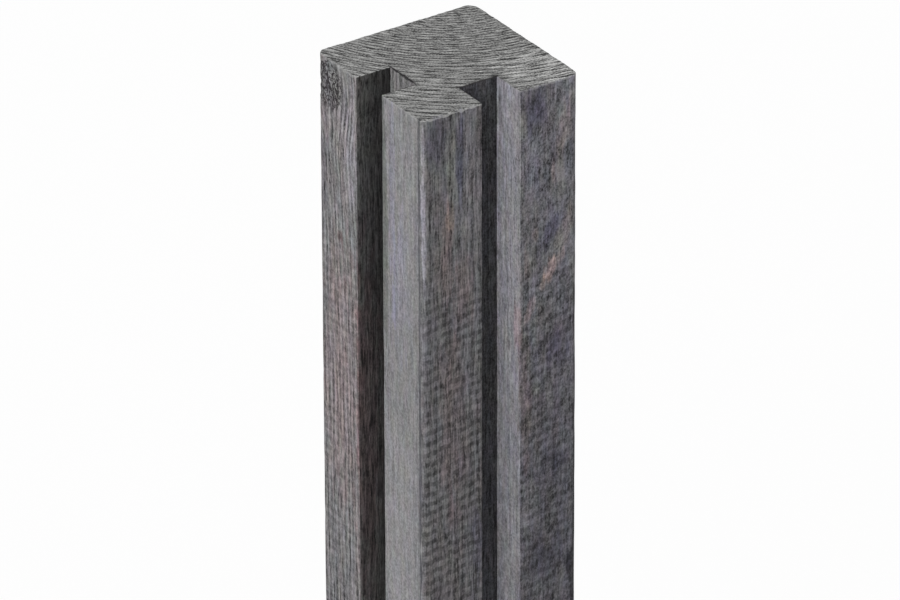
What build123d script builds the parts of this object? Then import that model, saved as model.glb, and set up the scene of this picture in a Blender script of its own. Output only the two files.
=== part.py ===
from build123d import *
import os

# All sizes in millimetres. The origin is the middle of the foot and +Z runs up the post.
# The grooves open to -X and -Y, so the corner of the fence points to +X +Y.

# Sawn and planed timber
post_width = 90.0
post_length = 2700.0

# Panel grooves, one in each of two neighbouring faces, on the middle line of the face
groove_width = 21.5
groove_depth = 19.5

# Rounded arrises that run the length of the post
back_corner_radius = 6.0
side_corner_radius = 4.5
front_corner_radius = 2.5

# Broken edge around the sawn top
top_edge_break = 0.6

# Turns about Z that bring a groove from the -Y face to each face that has one
grooved_face_turns = (0, -90)

# The line from the corner between the grooves to the back corner
corner_diagonal = Axis((0, 0, 0), (1, 1, 0))


# Square timber with its four long arrises rounded
def timber_section():
    with BuildSketch() as section:
        Rectangle(post_width, post_width)
        left_corner, right_corner = section.vertices().sort_by(corner_diagonal)[1:3]
        fillet([left_corner, right_corner], side_corner_radius)
        fillet(section.vertices().sort_by(corner_diagonal)[0], front_corner_radius)
        fillet(section.vertices().sort_by(corner_diagonal)[-1], back_corner_radius)
    return section.sketch


# A groove is cut square from the middle of its face and keeps its size along the post
def groove_section(turn):
    depth_middle = (post_width - groove_depth) / 2
    groove = Pos(0, -depth_middle) * Rectangle(groove_width, groove_depth)
    return Rot(0, 0, turn) * groove


# The grooved section run up to the full length
def grooved_timber():
    section = timber_section()
    for turn in grooved_face_turns:
        section = section - groove_section(turn)
    return extrude(section, amount=post_length)


# The post is one piece of wood: square cut at the foot, edges broken at the top
def corner_post():
    post = grooved_timber()
    top_face = post.faces().sort_by(Axis.Z)[-1]
    return chamfer(top_face.edges(), top_edge_break)


os.makedirs("parts", exist_ok=True)
export_step(corner_post(), "parts/post.step")
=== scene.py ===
import bpy
import math
import numpy as np
from mathutils import Matrix, Vector
from mathutils.geometry import delaunay_2d_cdt


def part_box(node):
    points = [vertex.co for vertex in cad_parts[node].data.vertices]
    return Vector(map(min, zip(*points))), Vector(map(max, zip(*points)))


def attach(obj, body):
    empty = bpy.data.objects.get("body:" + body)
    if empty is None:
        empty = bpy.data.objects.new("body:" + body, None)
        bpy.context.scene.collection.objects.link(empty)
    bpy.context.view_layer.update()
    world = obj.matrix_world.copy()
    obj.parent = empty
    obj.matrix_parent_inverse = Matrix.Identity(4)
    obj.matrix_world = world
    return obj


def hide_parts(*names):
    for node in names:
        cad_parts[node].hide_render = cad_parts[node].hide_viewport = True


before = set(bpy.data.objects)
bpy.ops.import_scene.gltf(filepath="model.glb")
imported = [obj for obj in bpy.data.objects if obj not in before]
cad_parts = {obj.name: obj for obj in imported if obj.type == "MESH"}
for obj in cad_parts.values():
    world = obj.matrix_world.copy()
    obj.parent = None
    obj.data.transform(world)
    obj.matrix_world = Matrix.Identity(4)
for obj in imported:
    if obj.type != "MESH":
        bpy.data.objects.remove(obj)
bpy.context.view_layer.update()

mm = 0.001
postLow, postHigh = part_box("post")
postWidth = postHigh.x - postLow.x
postTop = postHigh.z
print("frame loaded, post", round(postWidth, 4), "x", round(postTop, 4), "m")


# Small helpers for node trees, for materials and Geometry Nodes alike

def wire(tree, socket, value):
    if isinstance(value, bpy.types.NodeSocket):
        tree.links.new(value, socket)
    elif value is not None:
        socket.default_value = value


def addNode(tree, kind, inputs=None, **settings):
    node = tree.nodes.new(kind)
    for name, value in settings.items():
        setattr(node, name, value)
    for name, value in (inputs or {}).items():
        wire(tree, node.inputs[name], value)
    return node


def calc(tree, operation, *values):
    node = addNode(tree, "ShaderNodeMath", operation=operation)
    for socket, value in zip(node.inputs, values):
        wire(tree, socket, value)
    return node.outputs[0]


def vecCalc(tree, operation, *values):
    node = addNode(tree, "ShaderNodeVectorMath", operation=operation)
    for socket, value in zip(node.inputs, values):
        wire(tree, socket, value)
    return node.outputs["Value" if operation == "LENGTH" else "Vector"]


def scaled(tree, vector, amount):
    node = addNode(tree, "ShaderNodeVectorMath", {"Scale": amount}, operation="SCALE")
    wire(tree, node.inputs[0], vector[:3] if isinstance(vector, tuple) else vector)
    return node.outputs["Vector"]


def product(tree, *values):
    result = values[0]
    for value in values[1:]:
        result = calc(tree, "MULTIPLY", result, value)
    return result


def total(tree, *values):
    result = values[0]
    for value in values[1:]:
        result = calc(tree, "ADD", result, value)
    return result


def splitUp(tree, vector):
    return addNode(tree, "ShaderNodeSeparateXYZ", {"Vector": vector}).outputs


def joined(tree, **parts):
    return addNode(tree, "ShaderNodeCombineXYZ", parts).outputs[0]


def noise(tree, place, scale, detail=2.0, roughness=0.5, output="Fac"):
    stretched = vecCalc(tree, "MULTIPLY", place, scale)
    node = addNode(tree, "ShaderNodeTexNoise", {"Vector": stretched, "Scale": 1.0, "Detail": detail,
                                               "Roughness": roughness})
    return node.outputs[output]


def remap(tree, value, low, high, newLow=0.0, newHigh=1.0, soft=True):
    node = addNode(tree, "ShaderNodeMapRange", {"Value": value, "From Min": low, "From Max": high,
                                               "To Min": newLow, "To Max": newHigh},
                   interpolation_type="SMOOTHSTEP" if soft else "LINEAR")
    return node.outputs["Result"]


def tint(tree, amount, under, over, blend="MIX"):
    node = addNode(tree, "ShaderNodeMix", data_type="RGBA", blend_type=blend)
    wire(tree, node.inputs[0], amount)
    for socket, colour in zip([s for s in node.inputs if s.type == "RGBA"], (under, over)):
        wire(tree, socket, colour)
    return [s for s in node.outputs if s.type == "RGBA"][0]


# The section of the post, walked round once with the wood on the left hand

section = {
    "grooveWidth": 21.5 * mm,
    "grooveDepth": 19.5 * mm,
    "frontCornerRadius": 2.5 * mm,
    "sideCornerRadius": 4.5 * mm,
    "backCornerRadius": 6.0 * mm,
    "grooveMouthRadius": 0.5 * mm,
    "smallestRadius": 0.1 * mm,      # what a rounded edge keeps after it is drawn in
    "columnStep": 1.1 * mm,          # along the flats
    "arcStep": 0.8 * mm,             # round the corners
    "topRounding": 0.8 * mm,
    "topRoundingRows": 4,
    "wornCorner": 4.5 * mm,          # how much rounder one groove edge is at its very top
    "grooveShare": 0.35,             # the groove edges are crisper than the outer ones
    "footBreak": 0.3 * mm,
    "sharpAngle": 50.0,              # degrees, above which an edge is shown sharp
    "leastArcSteps": 2,
    "wornCornerSteps": 5,
    "endSlope": 2.4,                 # how fast the sawn look takes over on the rounded top edge
    "endDelay": 0.4,
    "rimReach": 3.5 * mm,            # how far down the flats the wear of the top edge goes
    "rimShadowReach": 0.6,            # of the top rounding, where a groove's rim gets its painted shadow line
}

# How each flat was worked and stained, and the painted light and shade it carries, in walking order,
# with (start, end) where it changes across it. tone is how light it is, partly the wood's own colour and
# partly painted light and shade for how the face is lit, bluish and pinkish its cast, sawn how strongly the
# saw marks show, streaky its fibres, gritty its specks, threaded its even ridges and threadPitch how far
# these lie apart, mottled its slanting patches, worn its top edge (below 0 a painted shadow line along a
# groove's rim), lean how far its grain drifts.
# A flat takes what it doesn't name from plainLooks, and so do the two ends
plainLooks = {
    "tone": 1.0, "bluish": 0.0, "pinkish": 0.0, "sawn": 0.0, "streaky": 0.0, "gritty": 0.0,
    "threaded": 0.0, "threadPitch": 3.0 * mm, "mottled": 0.0, "worn": 0.0, "lean": 0.0,
}

wallLooks = {
    "tongueFront": {
        "tone": 0.61, "bluish": 0.55, "pinkish": 0.35, "sawn": 1.0, "streaky": 0.95, "gritty": 0.85,
        "threaded": 0.45, "threadPitch": 4.1 * mm, "mottled": 0.25, "worn": 1.0,
    },
    "frontGrooveNear": {
        "tone": 0.60, "bluish": 0.40, "streaky": 0.6, "gritty": 0.8, "threaded": 0.3,
    },
    # frontGrooveFloor's low tone is painted shade of the deep groove, on top of the wood's own dark bluish
    # colour
    "frontGrooveFloor": {
        "tone": 0.26, "bluish": 0.95, "streaky": 1.0, "gritty": 1.3, "threaded": 0.4, "mottled": 0.5,
        "worn": -1.0,
    },
    # frontGrooveLit's tone is painted light: 2.85 beside the groove's floor, where the tongue shades the
    # face, down to 1.22 at its mouth
    "frontGrooveLit": {
        "tone": (2.85, 1.22), "bluish": 0.85, "pinkish": 0.10, "sawn": 0.1, "streaky": 0.50,
        "gritty": 0.85, "threaded": 0.3, "threadPitch": 3.4 * mm, "mottled": 0.30, "worn": 0.3,
    },
    "outerFront": {
        "tone": 0.61, "bluish": 1.0, "pinkish": 0.15, "sawn": 0.7, "streaky": 0.58, "gritty": 1.3,
        "threaded": 0.25, "threadPitch": 2.3 * mm, "mottled": 1.0, "worn": 0.4,
    },
    "backRight": {
        "tone": 0.85, "bluish": 0.45, "pinkish": 0.15, "sawn": 0.5, "streaky": 0.9, "gritty": 0.9,
        "threaded": 0.6, "mottled": 0.5, "worn": 0.6,
    },
    "backLeft": {
        "tone": 0.90, "bluish": 0.35, "pinkish": 0.15, "sawn": 0.3, "streaky": 1.0, "gritty": 0.9,
        "threaded": 0.6, "mottled": 0.3, "worn": 0.6,
    },
    "outerSide": {
        "tone": 0.95, "bluish": 0.30, "pinkish": 0.45, "sawn": 0.55, "streaky": 0.95, "gritty": 0.85,
        "threaded": 1.0, "mottled": 0.15, "worn": 0.5, "lean": 5.0 * mm,
    },
    # sideGrooveShade's tone is painted shade, from 0.38 at the groove's mouth down to 0.10 beside its floor
    "sideGrooveShade": {
        "tone": (0.38, 0.10), "pinkish": 0.25, "streaky": 1.15, "gritty": 0.7, "threaded": 0.5,
        "threadPitch": 3.6 * mm,
    },
    "sideGrooveFloor": {
        "tone": 1.10, "bluish": 0.1, "streaky": 1.0, "gritty": 0.7, "threaded": 0.5,
        "threadPitch": 3.4 * mm, "worn": -1.0,
    },
    "sideGrooveFar": {
        "tone": 0.60, "bluish": 0.1, "streaky": 0.6, "gritty": 0.8, "threaded": 0.3, "worn": -1.0,
    },
    "tongueSide": {
        "tone": 1.03, "bluish": 0.40, "pinkish": 0.05, "streaky": 0.42, "gritty": 0.75,
        "threaded": 0.2, "threadPitch": 4.2 * mm, "mottled": 0.08, "worn": 0.55,
    },
}

cornerLooks = [look for look in plainLooks if look != "lean"]


# How soon a rounded corner takes the looks of the flat that follows it: below 1 early, above 1 late
cornerTurn = {"tongueFront": 0.4, "outerFront": 3.0}


def sectionCorners(inset):
    half = postWidth / 2 - inset
    drawn = inset * section["grooveShare"]
    mouth = section["grooveWidth"] / 2 + drawn
    floor = postWidth / 2 - section["grooveDepth"] - drawn
    front = section["frontCornerRadius"]
    side = section["sideCornerRadius"]
    back = section["backCornerRadius"]
    lip = section["grooveMouthRadius"]
    return [
        (-half, -half, front, "tongueFront"),
        (-mouth, -half, lip, "frontGrooveNear"),
        (-mouth, -floor, 0, "frontGrooveFloor"),
        (mouth, -floor, 0, "frontGrooveLit"),
        (mouth, -half, lip, "outerFront"),
        (half, -half, side, "backRight"),
        (half, half, back, "backLeft"),
        (-half, half, side, "outerSide"),
        (-half, mouth, lip, "sideGrooveShade"),
        (-floor, mouth, 0, "sideGrooveFloor"),
        (-floor, -mouth, 0, "sideGrooveFar"),
        (-half, -mouth, lip, "tongueSide"),
    ]


def cornerSteps(radius, wall):
    least = section["wornCornerSteps"] if wall == "outerFront" else section["leastArcSteps"]
    return max(least, round(radius * math.pi / 2 / section["arcStep"])) if radius else 0


# What is left of a corner's radius where the loop is drawn in
def keptRadius(radius, inset, wall):
    if not radius:
        return 0
    worn = section["wornCorner"] * inset / section["topRounding"] if wall == "outerFront" else 0
    return max(radius - inset, section["smallestRadius"]) + worn


# One loop of points, with the same count for every inset
def sectionLoop(inset):
    corners = sectionCorners(inset)
    fullCorners = sectionCorners(0)
    places = []
    for i, (x, y, radius, wall) in enumerate(corners):
        nextX, nextY, nextRadius, nextWall = corners[(i + 1) % len(corners)]
        corner = Vector((x, y))
        before = (corner - Vector(corners[i - 1][:2])).normalized()
        after = (Vector((nextX, nextY)) - corner).normalized()
        steps = cornerSteps(radius, wall)
        kept = keptRadius(radius, inset, wall)
        centre = corner - before * kept + after * kept
        for step in range(steps + 1):
            turn = math.pi / 2 * step / steps if steps else 0
            spoke = before * math.sin(turn) - after * math.cos(turn)
            places.append(centre + spoke * kept if steps else corner)
        nextKept = keptRadius(nextRadius, inset, nextWall)
        fullLength = (Vector(fullCorners[(i + 1) % len(corners)][:2]) - Vector(fullCorners[i][:2])).length
        pieces = round((fullLength - radius - nextRadius) / section["columnStep"])
        flatStart, flatEnd = corner + after * kept, Vector((nextX, nextY)) - after * nextKept
        places += [flatStart.lerp(flatEnd, piece / pieces) for piece in range(1, pieces)]
    return np.array([p[:] for p in places])


# What each point of the loop blends: (one flat's start or end, another's, share of the second),
# first as seen from the flat before the point and then from the flat after it
def loopBlends():
    corners = sectionCorners(0)
    blends, rounded = [], []
    for i, (x, y, radius, wall) in enumerate(corners):
        nextX, nextY, nextRadius, _ = corners[(i + 1) % len(corners)]
        lastWall = corners[i - 1][3]
        steps = cornerSteps(radius, wall)
        if steps:
            for step in range(steps + 1):
                blend = ((lastWall, 1), (wall, 0), (step / steps) ** cornerTurn.get(wall, 1.0))
                blends.append((blend, blend))
        else:
            blends.append((((lastWall, 1), (lastWall, 1), 0.0), ((wall, 0), (wall, 0), 0.0)))
        length = math.hypot(nextX - x, nextY - y)
        pieces = round((length - radius - nextRadius) / section["columnStep"])
        for piece in range(1, pieces):
            blend = ((wall, 0), (wall, 1), piece / pieces)
            blends.append((blend, blend))
        rounded += [1.0 if radius else 0.0] * (steps + 1) + [0.0] * (pieces - 1)
    return blends, np.array(rounded)


def lookAt(look, blend):
    (wallA, endA), (wallB, endB), share = blend
    values = []
    for wall, end in ((wallA, endA), (wallB, endB)):
        value = wallLooks[wall].get(look, plainLooks[look])
        values.append(value[end] if isinstance(value, tuple) else value)
    return values[0] * (1 - share) + values[1] * share


# Rows from the foot up, close together near the top
rowSpacing = {
    "nearTop": 1.5 * mm,
    "growth": 1.02,
    "most": 32.0 * mm,
    "leastShare": 0.5,               # of a step, that has to be left above the foot
}


def postRows():
    rounding = section["topRounding"]
    rows = []
    for step in range(section["topRoundingRows"], 0, -1):
        turn = math.pi / 2 * step / section["topRoundingRows"]
        rows.append((postTop - rounding + rounding * math.sin(turn), rounding * (1 - math.cos(turn))))
    height = postTop - rounding
    step = rowSpacing["nearTop"]
    while height > section["footBreak"] + step * rowSpacing["leastShare"]:
        rows.append((height, 0.0))
        height -= step
        step = min(step * rowSpacing["growth"], rowSpacing["most"])
    rows.append((section["footBreak"], 0.0))
    rows.append((0.0, section["footBreak"]))
    rows.reverse()
    return rows


# Growth rings, grain and wear, shared by the mesh and the material
timber = {
    "ringSpacing": 2.5 * mm,
    "wideSpacing": 3.8 * mm,
    "wideFrom": 104.0 * mm,          # from the pith, where the wide rings begin
    "wideTilt": 0.18,                # how much nearer they begin towards +X and -Y
    "pithX": 53.0 * mm,
    "pithY": 79.0 * mm,
    "pithWander": 4.0 * mm,          # how far the rings stray up the post
    "ringUnevenness": 0.22,          # in rings
    "ringReach": 0.10,               # metres of ring to each radian, for the lines beside the rings
    "sideRelief": 0.10 * mm,         # how deep the soft wood is brushed out
    "endRelief": 0.10 * mm,
    "edgeWear": 0.30 * mm,           # chips along the top edges
    "unevenness": 0.16 * mm,         # slow waves left by the planer
    "leanStart": 12.0 * mm,          # below the top
    "leanLength": 85.0 * mm,
    "knotPlace": (-45.0 * mm, 35.5 * mm, -13.5 * mm),    # from the middle of the top
    "knotRadius": 15.5 * mm,
    "knotDepth": 0.45 * mm,
    "knotBend": 0.45,                # how hard the fibres bend round it
    "seed": 4.0,
}


# The grid of points on the two ends, laid along the rings
endGrid = {
    "acrossTop": 0.7 * mm,
    "alongTop": 1.5 * mm,
    "acrossFoot": 2.4 * mm,
    "alongFoot": 2.8 * mm,
    "stagger": 0.37,                 # of a step, by which every second ring is turned
    "edgeGap": 0.7,                  # of the step across, left free along the edge
    "weld": 1e-7,
}


def insideSection(points, loop, margin):
    x, y = points[:, 0][:, None], points[:, 1][:, None]
    ax, ay = loop[:, 0][None], loop[:, 1][None]
    bx, by = np.roll(loop[:, 0], -1)[None], np.roll(loop[:, 1], -1)[None]
    straddles = (ay > y) != (by > y)
    rise = np.where(by == ay, 1.0, by - ay)
    crossings = straddles & (x < (bx - ax) * (y - ay) / rise + ax)
    inside = crossings.sum(1) % 2 == 1
    nearest = np.sqrt(((x - ax) ** 2 + (y - ay) ** 2).min(1))
    return inside & (nearest > margin)


# Points for an end face that follow the growth rings
def ringPoints(loop, acrossStep, alongStep, margin):
    points = []
    farthest = math.hypot(timber["pithX"] + postWidth / 2, timber["pithY"] + postWidth / 2)
    nearest = math.hypot(timber["pithX"] - postWidth / 2, timber["pithY"] - postWidth / 2)
    for ring in range(int(nearest / acrossStep), int(farthest / acrossStep) + 1):
        radius = ring * acrossStep
        stagger = endGrid["stagger"] * (ring % 2) * alongStep / radius
        turns = np.arange(math.pi, math.pi * 1.5, alongStep / radius) + stagger
        points.append(np.stack([timber["pithX"] + radius * np.cos(turns),
                                timber["pithY"] + radius * np.sin(turns)], 1))
    points = np.concatenate(points)
    return points[insideSection(points, loop, margin)]


# Fills one end with triangles that share the side's last row of points
def fillEnd(loop, loopStart, nextIndex, acrossStep, alongStep, faceUp):
    inner = ringPoints(loop, acrossStep, alongStep, acrossStep * endGrid["edgeGap"])
    count = len(loop)
    allPoints = [Vector(p) for p in loop] + [Vector(p) for p in inner]
    borders = [(i, (i + 1) % count) for i in range(count)]
    places, _, faces, origins, _, _ = delaunay_2d_cdt(allPoints, borders, [], 1, endGrid["weld"])
    index = [loopStart + o[0] if o[0] < count else nextIndex + o[0] - count for o in origins]
    triangles = [[index[i] for i in (face if faceUp else face[::-1])] for face in faces]
    return inner, triangles


def sideFaces(rowCount, columns):
    faces = []
    for row in range(rowCount - 1):
        below, above = row * columns, (row + 1) * columns
        for column in range(columns):
            across = (column + 1) % columns
            faces.append([below + column, below + across, above + across, above + column])
    return faces


# Looks go on the face corners, so that they can change sharply where two flats meet, and wear and the groove
# rims' painted shadow line on the points
def storeLooks(mesh, rows, columns, endPoints, endCorners):
    blends, rounded = loopBlends()

    def store(name, domain, sideValues, endCount, endValue):
        field = mesh.attributes.new(name, "FLOAT", domain)
        values = np.concatenate([sideValues, np.full(endCount, endValue)])
        field.data.foreach_set("value", values.astype(np.float32))

    for look in cornerLooks:
        starts = np.array([lookAt(look, after) for _, after in blends])
        ends = np.roll([lookAt(look, before) for before, _ in blends], -1)
        perFace = np.stack([starts, ends, ends, starts], 1).ravel()
        store(look, "CORNER", np.tile(perFace, len(rows) - 1), endCorners, plainLooks[look])

    rounding = section["topRounding"]
    heights = np.repeat([height for height, _ in rows], columns)
    insets = np.repeat([inset for _, inset in rows], columns) / rounding
    sawnEnd = np.clip(insets * section["endSlope"] - section["endDelay"], 0, 1) * (heights > 0.5 * postTop)
    nearTop = np.clip(1.0 - (postTop - rounding - heights) / section["rimReach"], 0, 1)
    worn = [max(lookAt("worn", after), 0.0) for _, after in blends]
    # where worn is below 0, a groove's rim gets a painted shadow line
    dark = [max(-lookAt("worn", after), -lookAt("worn", before), 0.0) for before, after in blends]
    lean = [lookAt("lean", after) for _, after in blends]
    rimShadowRows = heights > postTop - section["rimShadowReach"] * rounding
    store("endGrain", "POINT", sawnEnd, endPoints, 1.0)
    store("rim", "POINT", nearTop * np.tile(worn, len(rows)), endPoints, 0.0)
    store("rimShadowLine", "POINT", np.tile(dark, len(rows)) * rimShadowRows, endPoints, 0.0)
    store("arris", "POINT", np.tile(rounded, len(rows)), endPoints, 0.0)
    store("lean", "POINT", np.tile(lean, len(rows)), endPoints, 0.0)


def buildPostMesh():
    rows = postRows()
    loops = [sectionLoop(inset) for _, inset in rows]
    columns = len(loops[0])
    side = np.concatenate([np.column_stack([loop, np.full(columns, height)])
                           for loop, (height, _) in zip(loops, rows)])
    topInner, topFaces = fillEnd(loops[-1], (len(rows) - 1) * columns, len(side),
                                 endGrid["acrossTop"], endGrid["alongTop"], True)
    footInner, footFaces = fillEnd(loops[0], 0, len(side) + len(topInner),
                                   endGrid["acrossFoot"], endGrid["alongFoot"], False)
    places = np.concatenate([side, np.column_stack([topInner, np.full(len(topInner), postTop)]),
                             np.column_stack([footInner, np.zeros(len(footInner))])])
    mesh = bpy.data.meshes.new("cornerPost")
    mesh.from_pydata(places.tolist(), [], sideFaces(len(rows), columns) + topFaces + footFaces)
    mesh.update()
    mesh.shade_smooth()
    endCorners = sum(len(face) for face in topFaces + footFaces)
    storeLooks(mesh, rows, columns, len(topInner) + len(footInner), endCorners)
    triangles = 2 * columns * (len(rows) - 1) + len(topFaces) + len(footFaces)
    print("post mesh:", columns, "columns,", len(rows), "rows,", triangles, "triangles")
    return mesh


# Noise scales of the wear, in cycles per metre, and how far each thing goes
wear = {
    "sway": 3.1,
    "swayReach": 4.0,
    "knotReach": (2.4, 0.3),         # in knot radii, where fibres begin to bend and bend fully
    "ringDrift": (30.0, 30.0, 2.5),
    "yearDrift": 0.35,               # how soon wide and narrow years follow each other
    "yearDriftShare": 0.8,
    "hardWood": (0.35, 0.8),         # of a year, where its hard wood begins and is full
    "hardWoodEnd": (1.0, 0.9),
    "waves": (45.0, 45.0, 9.0),
    "chips": (170.0, 170.0, 60.0),
    "chipEdge": (0.4, 0.65),
    "lumps": (330.0, 330.0, 330.0),
    "lumpReach": 0.7,
    "lumpEdge": (0.35, 0.65),
    "knotEdge": (1.32, 1.05),
}


# Geometry Nodes: works out the wood's own coordinates and rings, and brushes the relief into the mesh
def weatheringTree(material, settings):
    tree = bpy.data.node_groups.new("woodWeathering", "GeometryNodeTree")
    tree.interface.new_socket("Geometry", in_out="INPUT", socket_type="NodeSocketGeometry")
    sockets = {}
    for name, value in settings.items():
        kind = "NodeSocketVector" if isinstance(value, tuple) else "NodeSocketFloat"
        sockets[name] = tree.interface.new_socket(name, in_out="INPUT", socket_type=kind).identifier
    tree.interface.new_socket("Geometry", in_out="OUTPUT", socket_type="NodeSocketGeometry")
    ins = tree.nodes.new("NodeGroupInput").outputs
    outs = tree.nodes.new("NodeGroupOutput").inputs

    place = addNode(tree, "GeometryNodeInputPosition").outputs[0]
    height = splitUp(tree, place)["Z"]
    normal = addNode(tree, "GeometryNodeInputNormal").outputs[0]

    def field(name):
        return addNode(tree, "GeometryNodeInputNamedAttribute", {"Name": name}, data_type="FLOAT").outputs[0]

    # the grain strays slowly up the post, so rings and fibres sway together
    swayPlace = joined(tree, X=ins["Seed"], Z=product(tree, height, wear["sway"]))
    sway = addNode(tree, "ShaderNodeTexNoise", {"Vector": swayPlace, "Scale": 1.0, "Detail": 1.0})
    sway = vecCalc(tree, "SUBTRACT", sway.outputs["Color"], (0.5, 0.5, 0.5))
    reach = product(tree, ins["Pith Wander"], wear["swayReach"])
    sway = vecCalc(tree, "MULTIPLY", sway, joined(tree, X=reach, Y=reach))
    swayed = vecCalc(tree, "ADD", place, sway)

    # one flat's fibres lean near the top, and bend round the knot
    fromKnot = vecCalc(tree, "SUBTRACT", place, ins["Knot Place"])
    knotDistance = calc(tree, "DIVIDE", vecCalc(tree, "LENGTH", fromKnot), ins["Knot Radius"])
    belowLean = calc(tree, "DIVIDE", calc(tree, "SUBTRACT", ins["Lean Top"], height), ins["Lean Length"])
    drift = product(tree, field("lean"), remap(tree, belowLean, 0.0, 1.0))
    pull = product(tree, remap(tree, knotDistance, *wear["knotReach"]), ins["Knot Bend"])
    drift = calc(tree, "SUBTRACT", drift, product(tree, splitUp(tree, fromKnot)["Y"], pull))
    grain = vecCalc(tree, "ADD", swayed, joined(tree, Y=drift))

    # years from the pith, wider ones outside
    across = splitUp(tree, swayed)
    radius = vecCalc(tree, "LENGTH", joined(tree, X=calc(tree, "SUBTRACT", across["X"], ins["Pith X"]),
                                            Y=calc(tree, "SUBTRACT", across["Y"], ins["Pith Y"])))
    tilted = product(tree, calc(tree, "SUBTRACT", across["X"], across["Y"]), ins["Wide Tilt"])
    outside = calc(tree, "SUBTRACT", total(tree, radius, tilted), ins["Wide From"])
    outside = calc(tree, "MAXIMUM", outside, 0.0)
    inside = calc(tree, "SUBTRACT", radius, outside)
    years = total(tree, calc(tree, "DIVIDE", inside, ins["Ring Spacing"]),
                  calc(tree, "DIVIDE", outside, ins["Wide Spacing"]))
    yearPlace = product(tree, years, wear["yearDrift"])
    yearDrift = addNode(tree, "ShaderNodeTexNoise", {"W": yearPlace, "Scale": 1.0, "Detail": 1.0},
                        noise_dimensions="1D").outputs["Fac"]
    uneven = calc(tree, "SUBTRACT", noise(tree, grain, wear["ringDrift"], 1.0), 0.5)
    rings = total(tree, years, product(tree, yearDrift, wear["yearDriftShare"]),
                  product(tree, uneven, ins["Ring Unevenness"], 2.0))
    phase = calc(tree, "FRACT", rings)
    hardWood = product(tree, remap(tree, phase, *wear["hardWood"]), remap(tree, phase, *wear["hardWoodEnd"]))
    softWood = calc(tree, "SUBTRACT", 1.0, hardWood)

    # how deep each thing goes into the wood
    onEnd = field("endGrain")
    onSide = calc(tree, "SUBTRACT", 1.0, onEnd)
    waves = noise(tree, place, wear["waves"], 1.0)
    sideDepth = total(tree, product(tree, softWood, ins["Side Relief"]),
                      product(tree, waves, ins["Unevenness"]))
    chips = remap(tree, noise(tree, place, wear["chips"], 2.0), *wear["chipEdge"])
    lumps = noise(tree, place, wear["lumps"], 2.0, 0.6)
    knotReach = total(tree, knotDistance, product(tree, lumps, wear["lumpReach"]))
    knot = product(tree, remap(tree, knotReach, *wear["knotEdge"]), onSide)
    depth = total(tree, product(tree, sideDepth, onSide),
                  product(tree, softWood, ins["End Relief"], onEnd),
                  product(tree, field("rim"), chips, ins["Edge Wear"]),
                  product(tree, field("arris"), chips, ins["Unevenness"]),
                  product(tree, knot, remap(tree, lumps, *wear["lumpEdge"]), ins["Knot Depth"]))
    offset = scaled(tree, normal, product(tree, depth, -1.0))

    stored = ins["Geometry"]
    for name, kind, value in (("grainPlace", "FLOAT_VECTOR", grain), ("ringCount", "FLOAT", rings),
                              ("knot", "FLOAT", knot)):
        keeper = addNode(tree, "GeometryNodeStoreNamedAttribute", {"Geometry": stored, "Name": name},
                         data_type=kind, domain="POINT")
        wire(tree, [s for s in keeper.inputs if s.name == "Value" and s.enabled][0], value)
        stored = keeper.outputs[0]
    moved = addNode(tree, "GeometryNodeSetPosition", {"Geometry": stored, "Offset": offset}).outputs[0]
    real = addNode(tree, "GeometryNodeRealizeInstances", {"Geometry": moved}).outputs[0]
    dressed = addNode(tree, "GeometryNodeSetMaterial", {"Geometry": real, "Material": material}).outputs[0]
    wire(tree, outs["Geometry"], dressed)
    return tree, sockets


def weather(post, material):
    knotX, knotY, knotBelow = timber["knotPlace"]
    settings = {
        "Ring Spacing": timber["ringSpacing"], "Wide Spacing": timber["wideSpacing"],
        "Wide From": timber["wideFrom"], "Wide Tilt": timber["wideTilt"],
        "Pith X": timber["pithX"], "Pith Y": timber["pithY"],
        "Pith Wander": timber["pithWander"], "Ring Unevenness": timber["ringUnevenness"],
        "Side Relief": timber["sideRelief"], "End Relief": timber["endRelief"],
        "Edge Wear": timber["edgeWear"], "Unevenness": timber["unevenness"],
        "Lean Top": postTop - timber["leanStart"], "Lean Length": timber["leanLength"],
        "Knot Place": (knotX, knotY, postTop + knotBelow), "Knot Radius": timber["knotRadius"],
        "Knot Depth": timber["knotDepth"], "Knot Bend": timber["knotBend"], "Seed": timber["seed"],
    }
    tree, sockets = weatheringTree(material, settings)
    modifier = post.modifiers.new("weathering", "NODES")
    modifier.node_group = tree
    for name, value in settings.items():
        modifier[sockets[name]] = value
    graph = bpy.context.evaluated_depsgraph_get()
    finished = bpy.data.meshes.new_from_object(post.evaluated_get(graph), preserve_all_data_layers=True,
                                               depsgraph=graph)
    post.modifiers.remove(modifier)
    post.data = finished
    finished.name = "cornerPost"
    return post


# Weathered wood

stain = {
    "grey": (0.205, 0.203, 0.200, 1),
    "blueGrey": (0.188, 0.185, 0.215, 1),
    "pinkGrey": (0.235, 0.200, 0.195, 1),
    "endGrey": (0.185, 0.185, 0.182, 1),
    "wornGrey": (0.35, 0.348, 0.342, 1),
    # the knot's dark flecks, and also the painted shadow line along the groove rims
    "knotBrownAndRimShadow": (0.018, 0.015, 0.017, 1),
    "roughness": 0.86,
    "gloss": 0.25,
    "bumpStrength": 0.8,
    "bumpDepth": 0.25 * mm,
}

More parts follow.
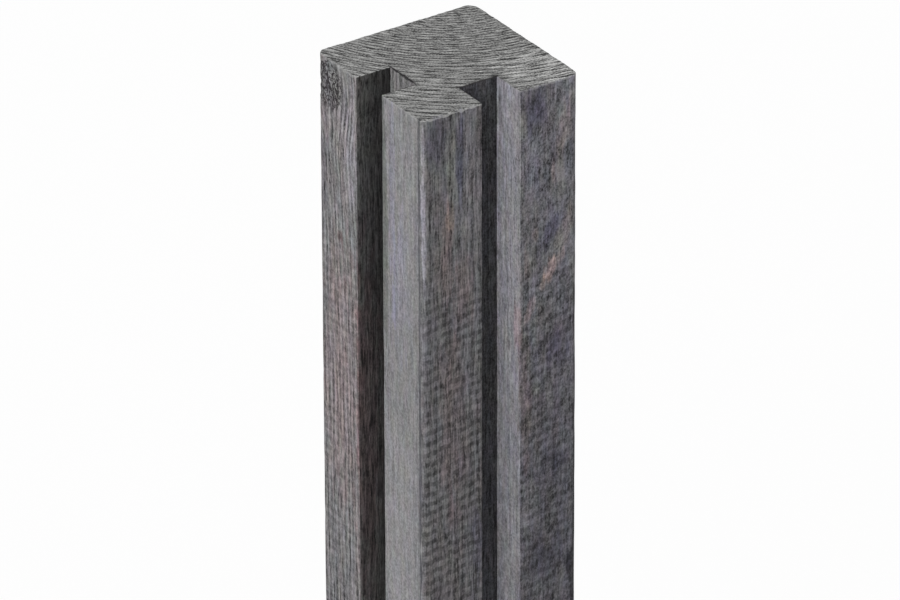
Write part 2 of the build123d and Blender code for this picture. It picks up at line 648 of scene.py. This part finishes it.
# Fibres and marks, in cycles per metre across and along the grain
fibres = {
    "fine": (900.0, 900.0, 120.0),
    "hair": (460.0, 460.0, 16.0),
    "fineHair": (760.0, 760.0, 40.0),
    "lines": (640.0, 640.0, 34.0),
    "broad": (180.0, 180.0, 14.0),
    "bands": (80.0, 80.0, 5.0),
    "grit": (1150.0, 1150.0, 850.0),
    "specks": (560.0, 560.0, 400.0),
    "pits": (800.0, 800.0, 330.0),
    "blotches": (210.0, 210.0, 120.0),
    "mottle": (310.0, 310.0, 115.0),
    "clouds": (120.0, 120.0, 75.0),
    "threadWander": (110.0, 110.0, 7.0),
    "threadReach": 0.7 * mm,
    "threadPatches": (90.0, 90.0, 20.0),
    "cast": (230.0, 230.0, 90.0),
    "blueClouds": (130.0, 130.0, 34.0),
    "pinkClouds": (110.0, 110.0, 22.0),
    "pinkAside": (3.1, 1.7, 0.4),    # keeps the pink clouds off the blue ones
    "knotFlecks": (900.0, 900.0, 560.0),
    "knotCracks": (380.0, 380.0, 280.0),
    "knotBlots": (520.0, 520.0, 380.0),
    "edgeWaves": (260.0, 260.0, 60.0),
    "scratches": (1200.0, 110.0, 1.0),      # out from the pith and along the rings
    "ringBreaks": (260.0, 80.0, 1.0),
    "pores": (1050.0, 1050.0, 200.0),
    "endClouds": (45.0, 45.0, 20.0),
    "endRoughness": (800.0, 800.0, 200.0),
    "raggedFine": (380.0, 380.0, 40.0),
    "raggedBroad": (160.0, 160.0, 80.0),
    "mottleTurn": -32.0,             # degrees
}

# Rows of short dashes where the saw's teeth tore the fibres
sawMarks = {
    "pitch": 5.5 * mm,
    "slope": -0.12,
    "start": 70.0 * mm,              # below the top, where they begin to show
    "full": 115.0 * mm,
    "faint": 0.12,                   # what shows of them above that
    "sway": (26.0, 26.0, 26.0),
    "swayReach": 0.8 * mm,
    "jitter": (330.0, 330.0, 40.0),
    "jitterReach": 0.85 * mm,
    "gaps": (170.0, 170.0, 80.0),
    "patches": (25.0, 25.0, 12.0),
    "depth": 0.56,
}

# How much each thing lightens the wood, or darkens it where below 0
lightShare = {
    "base": 1.20,
    "least": 0.12,
    "fine": 0.38,
    "lines": -0.22,
    "hair": -0.44,
    "fineHair": 0.7,                 # of the hair
    "broad": 0.05,
    "hardWood": -0.08,
    "threads": 0.30,
    "grit": 0.28,
    "pits": -0.16,
    "specks": 0.12,
    "blotches": 0.10,
    "mottle": 0.46,
    "clouds": 0.24,
    "bands": 0.06,
    "cast": 0.14,
    "castMottled": 0.06,
    "lateWood": -1.40,
    "scratches": 0.95,
    "pores": 0.60,
    "endClouds": 0.06,
    "endBase": 1.50,
}

# The end grain's late wood, as parts of a year and distances from the pith
lateYears = {
    "start": (0.52, 0.78),
    "end": (1.0, 0.92),
    "strength": 0.74,
    "strengthRange": 0.24,
    "breaks": 0.20,
    "breaksBase": 0.92,
    "fadeFrom": 98.0 * mm,
    "fadeTo": 116.0 * mm,
    "faded": 0.74,
}

# How high each thing stands in the bump
bumpShare = {
    "fine": 0.35,
    "lines": -0.5,
    "grit": 0.12,
    "saw": -0.9,
    "knot": -1.5,
    "end": 0.3,
    "lateWood": 0.5,
}

# Stains, and painted shade where named below, that sit in one place: middle and half size in mm, the third of
# each down from the top, how much red, green and blue they let through, how far they are turned in the plane
# of the flat (turn, in degrees) and the share of their size at which they begin to fade (core)
marks = {
    "paleUnderKnot": {"at": (-45, 38, 32), "size": (4, 9, 14), "colour": (1.12, 1.03, 1.03)},
    "paleBesideKnot": {"at": (-45, 18, 42), "size": (4, 10, 40), "colour": (1.18, 1.17, 1.24)},
    "dimBackEdge": {"at": (-45, 42, 62), "size": (4, 9, 34), "colour": (0.78, 0.79, 0.84)},
    "rosySide": {"at": (-45, 26, 165), "size": (4, 30, 90), "colour": (1.10, 0.99, 1.00)},
    "darkFleck": {"at": (-45, 26, 92), "size": (3, 4, 5), "colour": (0.60, 0.50, 0.50)},
    "grooveShade": {"at": (-32, 10.75, 90), "size": (16, 3, 110), "colour": (0.78, 0.79, 0.81)},
    "maroonShade": {"at": (-41, 10.75, 190), "size": (12, 3, 130), "colour": (0.95, 0.78, 0.80)},
    "mossyStrip": {"at": (-45, -11.8, 60), "size": (3, 3.6, 90), "colour": (0.66, 0.69, 0.64), "core": 0.8},
    "blueStrip": {"at": (-45, -19.5, 55), "size": (3, 3.2, 70), "colour": (1.01, 1.00, 1.12), "core": 0.7},
    "paleBlueSide": {"at": (-45, -26, 98), "size": (3, 10, 48), "colour": (1.08, 1.07, 1.17)},
    "arrisLine": {"at": (-45, -41.9, 130), "size": (3.5, 1.0, 240),
                  "colour": (0.46, 0.46, 0.48), "core": 0.7},
    "arrisBand": {"at": (-44.0, -45, 46), "size": (1.7, 2.4, 60), "colour": (1.55, 1.54, 1.68), "core": 0.5},
    "darkTongue": {"at": (-37, -45, 10), "size": (7, 3, 20), "colour": (0.72, 0.71, 0.80)},
    "mossyTongue": {"at": (-28, -45, 28), "size": (3, 3, 34), "colour": (1.20, 1.22, 1.14)},
    "blueTongue": {"at": (-23.5, -45, 24), "size": (3, 3, 36), "colour": (0.76, 0.76, 0.90)},
    "paleTongue": {"at": (-18, -45, 34), "size": (9, 3, 46), "colour": (1.14, 1.14, 1.19)},
    "orangeSpot": {"at": (-29.5, -45, 55), "size": (3.6, 3, 9), "colour": (1.36, 1.24, 1.12)},
    "rosyTrail": {"at": (-30.5, -45, 78), "size": (4.5, 3, 32), "colour": (1.14, 1.03, 1.02)},
    "rosyPatch": {"at": (-22, -45, 100), "size": (8, 3, 24), "colour": (1.13, 1.01, 1.02)},
    "rosyTongueLow": {"at": (-28, -45, 165), "size": (10, 3, 60), "colour": (1.10, 1.00, 1.00)},
    "darkOuterTop": {"at": (19, -45, 12), "size": (9, 3, 15), "colour": (0.66, 0.64, 0.74)},
    # dimLitTop and dimLitInner are painted shade that takes back some of the lit groove face's painted light
    # near the top
    "dimLitTop": {"at": (10.75, -35, 4), "size": (3, 26, 26), "colour": (0.86, 0.86, 0.86), "core": 0.4},
    "dimLitInner": {"at": (10.75, -25.5, 4), "size": (3, 10, 26), "colour": (0.62, 0.62, 0.62), "core": 0.4},
    "rustTop": {"at": (37, -45, 26), "size": (5, 3, 30), "colour": (1.34, 1.22, 1.14), "turn": 14},
    "rustUpper": {"at": (37, -45, 81), "size": (5.2, 3, 20), "colour": (1.33, 1.25, 1.14), "turn": 24},
    "rustStreak": {"at": (30, -45, 98), "size": (5.4, 3, 10), "colour": (1.66, 1.40, 1.25), "turn": 35},
    "rustMiddle": {"at": (23.8, -45, 107), "size": (3.4, 3, 8), "colour": (1.62, 1.38, 1.25), "turn": 25},
    "rustLow": {"at": (17, -45, 118.5), "size": (3.0, 3, 11), "colour": (1.50, 1.32, 1.22), "turn": 27},
    "rustLeft": {"at": (14.5, -45, 93), "size": (2.6, 3, 9), "colour": (1.25, 1.13, 1.08)},
    "rustSpot": {"at": (19.5, -45, 79), "size": (2.2, 3, 5), "colour": (1.55, 1.40, 1.28)},
    "darkBeforeRust": {"at": (28, -45, 80), "size": (5.5, 3, 18), "colour": (0.76, 0.75, 0.87), "turn": 27},
    "paleOuterLeft": {"at": (18, -45, 40), "size": (9, 3, 26), "colour": (1.20, 1.20, 1.22)},
    "paleOuterTop": {"at": (38, -45, 8), "size": (12, 3, 16), "colour": (1.16, 1.17, 1.18)},
    "darkOuterMid": {"at": (34, -45, 143), "size": (15, 3, 13), "colour": (0.70, 0.70, 0.77), "turn": 12},
    "darkOuterSpot": {"at": (33, -45, 203), "size": (6, 3, 11), "colour": (0.70, 0.70, 0.77)},
    "darkOuterFoot": {"at": (27, -45, 258), "size": (13, 3, 16), "colour": (0.72, 0.72, 0.79), "turn": 20},
    "blueTongueFoot": {"at": (-13.6, -45, 237), "size": (5.5, 3, 26), "colour": (0.80, 0.79, 0.92)},
    "paleOuterLow": {"at": (16, -45, 226), "size": (7, 3, 20), "colour": (1.26, 1.26, 1.25)},
    "dimTongueRight": {"at": (-17, -45, 215), "size": (9, 3, 60), "colour": (0.90, 0.90, 0.91)},
    "darkTongueFoot": {"at": (-30, -45, 272), "size": (24, 3, 26), "colour": (0.82, 0.82, 0.84)},
    # painted shadow lines along the top rims of the side groove's floor and far face
    "rimShadowFloorEdge": {"at": (-25.4, 0, 0), "size": (0.8, 13, 1.2), "colour": (0.30, 0.30, 0.31), "core": 0.7},
    "rimShadowNearEdge": {"at": (-33, -10.6, 0), "size": (9.5, 0.7, 1.2),
                     "colour": (0.36, 0.36, 0.37), "core": 0.7},
    # dimOuterLow and dimLitLow are painted shade, darker lower down on the outer front face and the lit
    # groove face
    "dimOuterLow": {"at": (28, -45, 260), "size": (28, 3, 165), "colour": (0.71, 0.70, 0.73)},
    "dimLitLow": {"at": (10.75, -35, 260), "size": (3, 20, 170), "colour": (0.83, 0.83, 0.83)},
    # painted shade on the rounded corner between the outer front and back right faces, which turns away from
    # the light
    "paintedShadeSideCorner": {"at": (45.5, -44, 600), "size": (7.0, 8, 560),
                       "colour": (0.42, 0.42, 0.43), "core": 0.8},
    "dimTongueEdge": {"at": (-45, -41.0, 270), "size": (3, 4.0, 150), "colour": (0.82, 0.82, 0.83)},
    "dimTongueSide": {"at": (-45, -30, 138), "size": (3, 16, 60), "colour": (0.90, 0.905, 0.89)},
    "dimSideLow": {"at": (-45, 28, 300), "size": (3, 30, 110), "colour": (0.93, 0.93, 0.94)},
    "brownOuterLeft": {"at": (14, -45, 168), "size": (4.5, 3, 55), "colour": (1.16, 1.04, 0.98)},
    "rosyLit": {"at": (10.75, -42.5, 128), "size": (3, 4, 17), "colour": (1.16, 1.00, 1.00)},
    "paleTopRight": {"at": (36, -28, 0), "size": (30, 26, 3), "colour": (1.42, 1.42, 1.42)},
    "paleTopLeft": {"at": (-36, 34, 0), "size": (22, 22, 3), "colour": (1.10, 1.10, 1.10)},
}

markCore = 0.35                      # where a mark names none
markRagged = (0.28, 0.25)            # how ragged their edges are, finely and broadly
markTrace = 0.001 * mm


def shaderField(tree, name, output="Fac"):
    return addNode(tree, "ShaderNodeAttribute", attribute_name=name).outputs[output]


# Noise spread over -1 to 1, times an amount
def swing(tree, place, scale, amount, detail=2.0, roughness=0.55, reach=0.2):
    plainNoise = noise(tree, place, scale, detail, roughness)
    return product(tree, remap(tree, plainNoise, 0.5 - reach, 0.5 + reach, -1.0, 1.0, soft=False), amount)


# Thin lines where a noise passes through its middle
def hairlines(tree, place, scale, width):
    away = calc(tree, "ABSOLUTE", calc(tree, "SUBTRACT", noise(tree, place, scale, 1.0), 0.5))
    return remap(tree, away, width, width * 0.3)


# What the parts of the material share: places, rings and the looks stored on the mesh
def woodFields(tree):
    wood = {name: shaderField(tree, name) for name in (*cornerLooks, "endGrain", "knot", "rimShadowLine")}
    wood["place"] = addNode(tree, "ShaderNodeTexCoord").outputs["Object"]
    wood["split"] = splitUp(tree, wood["place"])
    wood["below"] = calc(tree, "SUBTRACT", postTop, wood["split"]["Z"])
    wood["grain"] = shaderField(tree, "grainPlace", "Vector")
    wood["rings"] = shaderField(tree, "ringCount")
    wood["phase"] = calc(tree, "FRACT", wood["rings"])
    return wood


# Bright and dark fibres, with hairlines, sharp dark lines and even threads between them
def fibreLight(tree, wood):
    grain = wood["grain"]
    wood["fine"] = swing(tree, grain, fibres["fine"], 1.0, 2.0, 0.65, 0.14)
    wood["lines"] = remap(tree, noise(tree, grain, fibres["lines"], 2.0, 0.55), 0.57, 0.64)
    fineHair = product(tree, hairlines(tree, grain, fibres["fineHair"], 0.05), lightShare["fineHair"])
    hair = calc(tree, "MAXIMUM", hairlines(tree, grain, fibres["hair"], 0.045), fineHair)
    hardWood = product(tree, remap(tree, wood["phase"], 0.3, 0.75), remap(tree, wood["phase"], 1.0, 0.9))
    streaks = total(tree, product(tree, wood["fine"], lightShare["fine"]),
                    product(tree, wood["lines"], lightShare["lines"]),
                    product(tree, hair, lightShare["hair"]),
                    swing(tree, grain, fibres["broad"], lightShare["broad"]),
                    product(tree, hardWood, lightShare["hardWood"]))
    grainSplit = splitUp(tree, grain)
    across = total(tree, grainSplit["X"], grainSplit["Y"],
                   swing(tree, grain, fibres["threadWander"], fibres["threadReach"]))
    turns = calc(tree, "DIVIDE", across, wood["threadPitch"])
    wood["threadWave"] = calc(tree, "SINE", product(tree, turns, 2 * math.pi))
    threadDepth = remap(tree, noise(tree, grain, fibres["threadPatches"], 1.0), 0.3, 0.6, 0.35, 1.0)
    threads = product(tree, wood["threadWave"], threadDepth, wood["threaded"], lightShare["threads"])
    return total(tree, product(tree, streaks, wood["streaky"]), threads)


# Grit, pits and slanting patches
def patchLight(tree, wood):
    place = wood["place"]
    wood["grit"] = swing(tree, place, fibres["grit"], 1.0, 1.0, 0.6, 0.14)
    pits = remap(tree, noise(tree, place, fibres["pits"], 1.0), 0.60, 0.68)
    gritty = total(tree, product(tree, wood["grit"], lightShare["grit"]),
                   product(tree, pits, lightShare["pits"]),
                   swing(tree, place, fibres["specks"], lightShare["specks"]),
                   swing(tree, place, fibres["blotches"], lightShare["blotches"]))
    turned = addNode(tree, "ShaderNodeMapping", {
        "Vector": place, "Rotation": (0, math.radians(fibres["mottleTurn"]), 0)}).outputs[0]
    mottle = total(tree, swing(tree, turned, fibres["mottle"], lightShare["mottle"], 3.0, 0.65),
                   swing(tree, place, fibres["clouds"], lightShare["clouds"]))
    return total(tree, product(tree, gritty, wood["gritty"]), product(tree, mottle, wood["mottled"]),
                 swing(tree, wood["grain"], fibres["bands"], lightShare["bands"]))


def sawDashes(tree, wood):
    place, grain = wood["place"], wood["grain"]
    row = total(tree, wood["split"]["Z"], product(tree, wood["split"]["X"], sawMarks["slope"]),
                swing(tree, place, sawMarks["sway"], sawMarks["swayReach"]),
                swing(tree, grain, sawMarks["jitter"], sawMarks["jitterReach"]))
    rowWave = calc(tree, "SINE", product(tree, row, 2 * math.pi / sawMarks["pitch"]))
    gaps = remap(tree, noise(tree, grain, sawMarks["gaps"], 2.0, 0.6), 0.30, 0.56, 0.1, 1.0)
    patches = remap(tree, noise(tree, place, sawMarks["patches"], 1.0), 0.25, 0.5, 0.55, 1.0)
    depth = remap(tree, wood["below"], sawMarks["start"], sawMarks["full"], sawMarks["faint"], 1.0)
    byThread = remap(tree, wood["threadWave"], 0.8, -0.3, 0.58, 1.0)
    return product(tree, remap(tree, rowWave, -0.35, 0.65), byThread, gaps, wood["sawn"], patches, depth)


# The flats: grey, with blue and pink clouds and a coloured cast, the rough knot and the worn top edge
def sideColour(tree, wood):
    place, grain = wood["place"], wood["grain"]
    light = total(tree, fibreLight(tree, wood), patchLight(tree, wood), lightShare["base"])
    wood["dashes"] = sawDashes(tree, wood)
    sawLight = calc(tree, "SUBTRACT", 1.0, product(tree, wood["dashes"], sawMarks["depth"]))
    light = calc(tree, "MAXIMUM", product(tree, light, sawLight), lightShare["least"])

    blue = remap(tree, noise(tree, grain, fibres["blueClouds"], 3.0, 0.6), 0.38, 0.62, 0.45, 1.0)
    aside = vecCalc(tree, "ADD", grain, fibres["pinkAside"])
    pink = remap(tree, noise(tree, aside, fibres["pinkClouds"], 3.0), 0.42, 0.64)
    colour = tint(tree, product(tree, wood["bluish"], blue), stain["grey"], stain["blueGrey"])
    colour = tint(tree, product(tree, wood["pinkish"], pink), colour, stain["pinkGrey"])
    colour = scaled(tree, colour, product(tree, light, wood["tone"]))
    cast = noise(tree, grain, fibres["cast"], 1.0, output="Color")
    castShare = total(tree, product(tree, wood["mottled"], lightShare["castMottled"]), lightShare["cast"])
    cast = scaled(tree, vecCalc(tree, "SUBTRACT", cast, (0.5, 0.5, 0.5)), castShare)
    colour = vecCalc(tree, "MULTIPLY", colour, vecCalc(tree, "ADD", cast, (1.0, 1.0, 1.0)))

    flecks = remap(tree, noise(tree, place, fibres["knotFlecks"], 2.0, 0.6), 0.53, 0.56)
    cracks = hairlines(tree, place, fibres["knotCracks"], 0.022)
    blots = remap(tree, noise(tree, place, fibres["knotBlots"], 2.0, 0.6), 0.56, 0.59)
    flecks = calc(tree, "MAXIMUM", calc(tree, "MAXIMUM", flecks, cracks), blots)
    wood["knotFlecks"] = product(tree, wood["knot"], flecks)
    colour = tint(tree, product(tree, wood["knotFlecks"], 0.95), colour, stain["knotBrownAndRimShadow"])
    edge = total(tree, wood["below"], swing(tree, place, fibres["edgeWaves"], 0.7 * mm))
    edge = product(tree, remap(tree, edge, 1.2 * mm, 0.8 * mm), calc(tree, "MAXIMUM", wood["worn"], 0.0), 0.8)
    return tint(tree, edge, colour, stain["wornGrey"])


# End grain: dark late wood lines, fine scratches beside them and pores
def endColour(tree, wood):
    place = wood["place"]
    fromPith = vecCalc(tree, "SUBTRACT", place, (timber["pithX"], timber["pithY"], 0))
    pithSplit = splitUp(tree, fromPith)
    outward = vecCalc(tree, "LENGTH", vecCalc(tree, "MULTIPLY", fromPith, (1, 1, 0)))
    turnRound = product(tree, calc(tree, "ARCTAN2", pithSplit["Y"], pithSplit["X"]), timber["ringReach"])
    ringPlace = joined(tree, X=outward, Y=turnRound)
    year = calc(tree, "FLOOR", wood["rings"])
    strength = addNode(tree, "ShaderNodeTexWhiteNoise", {"W": year}, noise_dimensions="1D").outputs["Value"]
    strength = total(tree, product(tree, strength, lateYears["strengthRange"]), lateYears["strength"])
    breaks = total(tree, swing(tree, ringPlace, fibres["ringBreaks"], lateYears["breaks"]),
                   lateYears["breaksBase"])
    fade = remap(tree, outward, lateYears["fadeFrom"], lateYears["fadeTo"], 1.0, lateYears["faded"])
    wood["lateWood"] = product(tree, remap(tree, wood["phase"], *lateYears["start"]),
                               remap(tree, wood["phase"], *lateYears["end"]), strength, breaks, fade)
    light = total(tree, product(tree, wood["lateWood"], lightShare["lateWood"]),
                  swing(tree, ringPlace, fibres["scratches"], lightShare["scratches"], 1.0, 0.6, 0.15),
                  swing(tree, place, fibres["pores"], lightShare["pores"], 1.0, 0.6, 0.14),
                  swing(tree, place, fibres["endClouds"], lightShare["endClouds"]),
                  lightShare["endBase"])
    return scaled(tree, stain["endGrey"], calc(tree, "MAXIMUM", light, lightShare["least"]))


# Stains and painted shade whose edges follow the fibres. Worked out all at once they are too many for one
# material, which then renders black, so a trace of the ones before moves each next one and they follow in
# turn
def stainsAndShadeOver(tree, wood, colour):
    fineEdge, broadEdge = markRagged
    ragged = total(tree, swing(tree, wood["grain"], fibres["raggedFine"], fineEdge),
                   swing(tree, wood["place"], fibres["raggedBroad"], broadEdge))
    stainsAndShade = addNode(tree, "ShaderNodeRGB").outputs[0]
    stainsAndShade.default_value = (1, 1, 1, 1)
    for mark in marks.values():
        x, y, down = mark["at"]
        spot = vecCalc(tree, "MULTIPLY_ADD", stainsAndShade, (markTrace, markTrace, markTrace), wood["place"])
        local = addNode(tree, "ShaderNodeMapping", {
            "Vector": spot, "Location": (x * mm, y * mm, postTop - down * mm),
            "Rotation": (0, math.radians(mark.get("turn", 0)), 0),
            "Scale": tuple(size * mm for size in mark["size"])}, vector_type="TEXTURE")
        away = total(tree, vecCalc(tree, "LENGTH", local.outputs[0]), ragged)
        share = remap(tree, away, 1.0, mark.get("core", markCore))
        stainsAndShade = tint(tree, share, stainsAndShade, (*mark["colour"], 1), blend="MULTIPLY")
    return tint(tree, 1.0, colour, stainsAndShade, blend="MULTIPLY")


def bumpHeight(tree, wood):
    side = total(tree, product(tree, wood["fine"], wood["streaky"], bumpShare["fine"]),
                 product(tree, wood["lines"], wood["streaky"], bumpShare["lines"]),
                 product(tree, wood["grit"], bumpShare["grit"]),
                 product(tree, wood["dashes"], bumpShare["saw"]),
                 product(tree, wood["knotFlecks"], bumpShare["knot"]))
    end = total(tree, swing(tree, wood["place"], fibres["endRoughness"], bumpShare["end"], 2.0, 0.7),
                product(tree, wood["lateWood"], bumpShare["lateWood"]))
    return tint(tree, wood["endGrain"], side, end)


def woodMaterial():
    material = bpy.data.materials.new("weatheredWood")
    material.use_nodes = True
    tree = material.node_tree
    tree.nodes.clear()
    out = addNode(tree, "ShaderNodeOutputMaterial")
    surface = addNode(tree, "ShaderNodeBsdfPrincipled", {"Roughness": stain["roughness"],
                                                        "Specular IOR Level": stain["gloss"]})
    tree.links.new(surface.outputs[0], out.inputs[0])
    wood = woodFields(tree)
    colour = tint(tree, wood["endGrain"], sideColour(tree, wood), endColour(tree, wood))
    # painted shadow line along the top rims of the groove faces
    colour = tint(tree, product(tree, wood["rimShadowLine"], 0.9), colour, stain["knotBrownAndRimShadow"])
    wire(tree, surface.inputs["Base Color"], stainsAndShadeOver(tree, wood, colour))
    bump = addNode(tree, "ShaderNodeBump", {
        "Height": bumpHeight(tree, wood), "Strength": stain["bumpStrength"], "Distance": stain["bumpDepth"]})
    wire(tree, surface.inputs["Normal"], bump.outputs[0])
    return material


postMesh = buildPostMesh()
post = bpy.data.objects.new("corner_post", postMesh)
bpy.context.scene.collection.objects.link(post)
wood = woodMaterial()
weather(post, wood)
post.data.set_sharp_from_angle(angle=math.radians(section["sharpAngle"]))
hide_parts("post")
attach(post, "root")
print("post weathered:", len(post.data.vertices), "points")


# Floor, light and camera

studio = {
    "floorReach": 120.0,
    "floorColour": (0.80, 0.80, 0.80, 1),
    "floorLift": 0.34,               # added for the camera, so that the lit floor reads as white
    "keyAzimuth": -56.0,             # 0 is in front of the -Y face, -90 in front of the -X face
    "keyElevation": 38.0,
    "keyStrength": 2.5,
    "keySoftness": 50.0,
    "skyLevel": 0.32,
}


# 1 for what the camera sees, also by way of a glossy or clear surface
def seenRays(tree):
    rays = addNode(tree, "ShaderNodeLightPath").outputs
    seen = calc(tree, "MAXIMUM", rays["Is Camera Ray"], rays["Is Glossy Ray"])
    return calc(tree, "MAXIMUM", seen, rays["Is Transmission Ray"])


def makeFloor():
    reach = studio["floorReach"]
    mesh = bpy.data.meshes.new("floor")
    corners = [(-reach, -reach, 0), (reach, -reach, 0), (reach, reach, 0), (-reach, reach, 0)]
    mesh.from_pydata(corners, [], [(0, 1, 2, 3)])
    floor = bpy.data.objects.new("floor", mesh)
    bpy.context.scene.collection.objects.link(floor)
    material = bpy.data.materials.new("paleFloor")
    material.use_nodes = True
    tree = material.node_tree
    tree.nodes.clear()
    out = addNode(tree, "ShaderNodeOutputMaterial")
    matt = addNode(tree, "ShaderNodeBsdfDiffuse", {"Color": studio["floorColour"]})
    glow = product(tree, seenRays(tree), studio["floorLift"])
    lift = addNode(tree, "ShaderNodeEmission", {"Strength": glow})
    both = addNode(tree, "ShaderNodeAddShader")
    tree.links.new(matt.outputs[0], both.inputs[0])
    tree.links.new(lift.outputs[0], both.inputs[1])
    tree.links.new(both.outputs[0], out.inputs[0])
    mesh.materials.append(material)


def makeSky():
    world = bpy.data.worlds.new("softSky")
    world.use_nodes = True
    tree = world.node_tree
    tree.nodes.clear()
    out = addNode(tree, "ShaderNodeOutputWorld")
    level = total(tree, product(tree, seenRays(tree), 1.0 - studio["skyLevel"]), studio["skyLevel"])
    glow = addNode(tree, "ShaderNodeBackground", {"Color": (1, 1, 1, 1), "Strength": level})
    tree.links.new(glow.outputs[0], out.inputs[0])
    bpy.context.scene.world = world


def backVector(azimuth, elevation):
    a, e = math.radians(azimuth), math.radians(elevation)
    return Vector((math.sin(a) * math.cos(e), -math.cos(a) * math.cos(e), math.sin(e)))


def makeKey():
    lamp = bpy.data.lights.new("keyLight", "SUN")
    lamp.energy = studio["keyStrength"]
    lamp.angle = math.radians(studio["keySoftness"])
    key = bpy.data.objects.new("keyLight", lamp)
    bpy.context.scene.collection.objects.link(key)
    towardKey = backVector(studio["keyAzimuth"], studio["keyElevation"])
    key.rotation_euler = towardKey.to_track_quat("Z", "Y").to_euler()


view = {
    "azimuth": -33.97,
    "elevation": 28.44,
    "roll": -0.203,
    "distance": 4.2593,
    "right": -1.118 * mm,            # how far the middle of the top lies right of the picture's middle
    "up": 112.82 * mm,               # and how far above it
    "lens": 360.0,
    "sensor": 36.0,
    "farthest": 400.0,
}


def makeCamera():
    back = backVector(view["azimuth"], view["elevation"])
    a = math.radians(view["azimuth"])
    right = Vector((math.cos(a), math.sin(a), 0))
    up = back.cross(right)
    roll = math.radians(view["roll"])
    rightRolled = right * math.cos(roll) + up * math.sin(roll)
    upRolled = back.cross(rightRolled)
    place = Vector((0, 0, postTop)) + back * view["distance"]
    place -= rightRolled * view["right"] + upRolled * view["up"]
    lens = bpy.data.cameras.new("viewCamera")
    lens.lens = view["lens"]
    lens.sensor_width = view["sensor"]
    lens.clip_end = view["farthest"]
    camera = bpy.data.objects.new("viewCamera", lens)
    bpy.context.scene.collection.objects.link(camera)
    turned = Matrix((rightRolled, upRolled, back)).transposed().to_4x4()
    camera.matrix_world = Matrix.Translation(place) @ turned
    bpy.context.scene.camera = camera


makeFloor()
makeSky()
makeKey()
makeCamera()
bpy.context.scene.view_settings.view_transform = "Standard"
print("studio ready")
